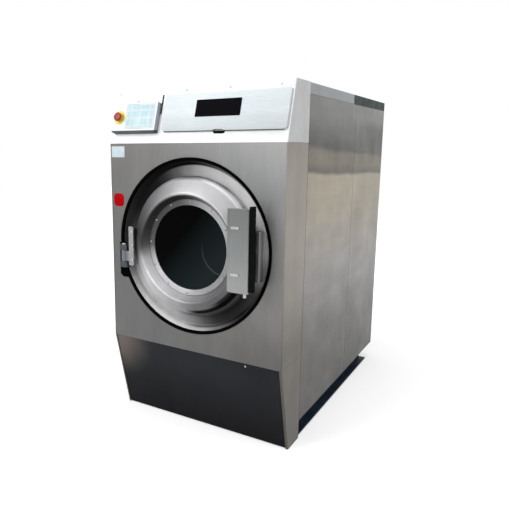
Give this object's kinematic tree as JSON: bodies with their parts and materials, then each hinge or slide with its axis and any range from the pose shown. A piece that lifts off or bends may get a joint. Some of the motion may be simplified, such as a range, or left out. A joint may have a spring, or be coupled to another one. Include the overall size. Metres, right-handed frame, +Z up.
{
  "type": "washer extractor",
  "caption": "Floor-standing front-loading laundry machine with a round porthole door, handle, tilted control fascia, supply lid and sloping toe.",
  "frame": {"origin": "on the floor, under the middle of the whole machine's box", "axes": "+X to the right of a person who faces the machine, +Y from the front to the rear, +Z up"},
  "size_m": [1, 1.789, 1.76],
  "materials": {
    "stainless_front": "vertically brushed stainless steel",
    "stainless_side": "brushed stainless steel",
    "fascia_steel": "bright satin stainless steel",
    "toe_dark": "charcoal satin",
    "cover_dark": "dark grey satin",
    "frame_navy": "dark blue enamel",
    "black_rubber": "black rubber",
    "cast_door": "satin machined casting",
    "polished_ring": "polished steel",
    "door_glass": "dark tempered glass",
    "handle_steel": "brushed stainless steel",
    "black_plastic": "black moulded plastic",
    "grey_plastic": "grey moulded plastic",
    "white_plastic": "white moulded plastic",
    "screen": "lit touch screen",
    "yellow_plastic": "yellow moulded plastic",
    "red_plastic": "red moulded plastic",
    "zinc_steel": "zinc plated",
    "bright_steel": "ground steel",
    "tub_steel": "stainless steel",
    "cast_iron": "painted cast iron",
    "motor_grey": "blue-grey enamel",
    "brass": "turned brass",
    "box_grey": "light grey powder coat"
  },
  "bodies": {
    "frame": {"base_rail_left": "frame_navy", "base_rail_right": "frame_navy", "base_front_beam": "frame_navy", "front_panel": "stainless_front", "cheek_left": "stainless_side", "cheek_right": "stainless_side", "toe_panel": "toe_dark", "door_trim": "black_rubber", "control_fascia": "fascia_steel", "lid_hinge_rod": "bright_steel", "dispenser_hopper": "white_plastic", "screen_pod": "grey_plastic", "touch_screen": "screen", "estop_base": "yellow_plastic", "top_cover_front": "fascia_steel", "top_cover_rear": "cover_dark", "side_panels_left": "stainless_side", "side_panels_right": "stainless_side", "tub_front": "tub_steel", "tub_shell": "tub_steel", "tub_back": "tub_steel", "tub_cradle": "frame_navy", "door_gasket": "black_rubber", "bearing_frame": "frame_navy", "bearing_housing": "cast_iron", "shaft_bearings": "bright_steel", "shaft_seal": "black_rubber", "drive_belts": "black_rubber", "motor_body": "motor_grey", "motor_bracket": "frame_navy", "hinge_block": "cast_door", "hinge_pin": "bright_steel", "lock_housing": "black_plastic", "drain_valve": "grey_plastic", "drain_pipe": "grey_plastic", "rear_panel": "stainless_side", "water_valves": "brass", "power_gland": "black_plastic", "inverter_box": "box_grey", "panel_screws": "zinc_steel"},
    "basket": {"basket_shell": "tub_steel", "basket_lifters": "tub_steel", "basket_spider": "cast_iron", "drive_shaft": "bright_steel", "drum_pulley": "cast_iron"},
    "motor_rotor": {"motor_pulley": "cast_iron"},
    "door": {"door_ring": "cast_door", "glass_retainer": "polished_ring", "door_glass": "door_glass", "door_bolts": "zinc_steel", "hinge_strap": "handle_steel", "latch_tongue": "bright_steel", "handle_pin": "bright_steel"},
    "handle": {"handle_plate": "handle_steel", "handle_grip": "black_plastic", "handle_bolts": "zinc_steel"},
    "lock_bolt": {"lock_bolt": "bright_steel"},
    "lid": {"dispenser_lid": "fascia_steel"},
    "estop": {"estop_head": "red_plastic"},
    "drain_ball": {"drain_ball": "bright_steel"}
  },
  "joints": [
    {"name": "basket_spin", "type": "hinge", "parent": "frame", "child": "basket", "pos_m": [0, -0.7125, 0.98], "axis": [0, 1, 0], "continuous": true},
    {"name": "motor_spin", "type": "hinge", "parent": "frame", "child": "motor_rotor", "pos_m": [0.18, 0.3135, 0.2415], "axis": [0, 1, 0], "continuous": true},
    {"name": "door_swing", "type": "hinge", "parent": "frame", "child": "door", "pos_m": [-0.408, -0.7825, 0.98], "axis": [0, 0, -1], "range_deg": [0, 125]},
    {"name": "handle_pull", "type": "hinge", "parent": "door", "child": "handle", "pos_m": [0.28, -0.8565, 1.01], "axis": [0, 0, -1], "range_deg": [0, 25], "stiffness_Nm_per_rad": 3, "springref_deg": -5.73},
    {"name": "lock_bolt_slide", "type": "slide", "parent": "frame", "child": "lock_bolt", "axis": [-1, 0, 0], "range_m": [0, 0.0075], "stiffness_N_per_m": 150},
    {"name": "lid_lift", "type": "hinge", "parent": "frame", "child": "lid", "pos_m": [0, -0.71122, 1.71451], "axis": [-1, 0, 0], "range_deg": [0, 85]},
    {"name": "estop_push", "type": "slide", "parent": "frame", "child": "estop", "axis": [0, 0.9613, -0.2756], "range_m": [0, 0.005], "stiffness_N_per_m": 400, "springref_m": -0.002},
    {"name": "drain_ball_turn", "type": "hinge", "parent": "frame", "child": "drain_ball", "pos_m": [0, -0.3505, 0.438], "axis": [1, 0, 0], "range_deg": [0, 90]}
  ],
  "couplings": [
    {"joint": "motor_spin", "follows": "basket_spin", "ratio": 4.5714}
  ]
}
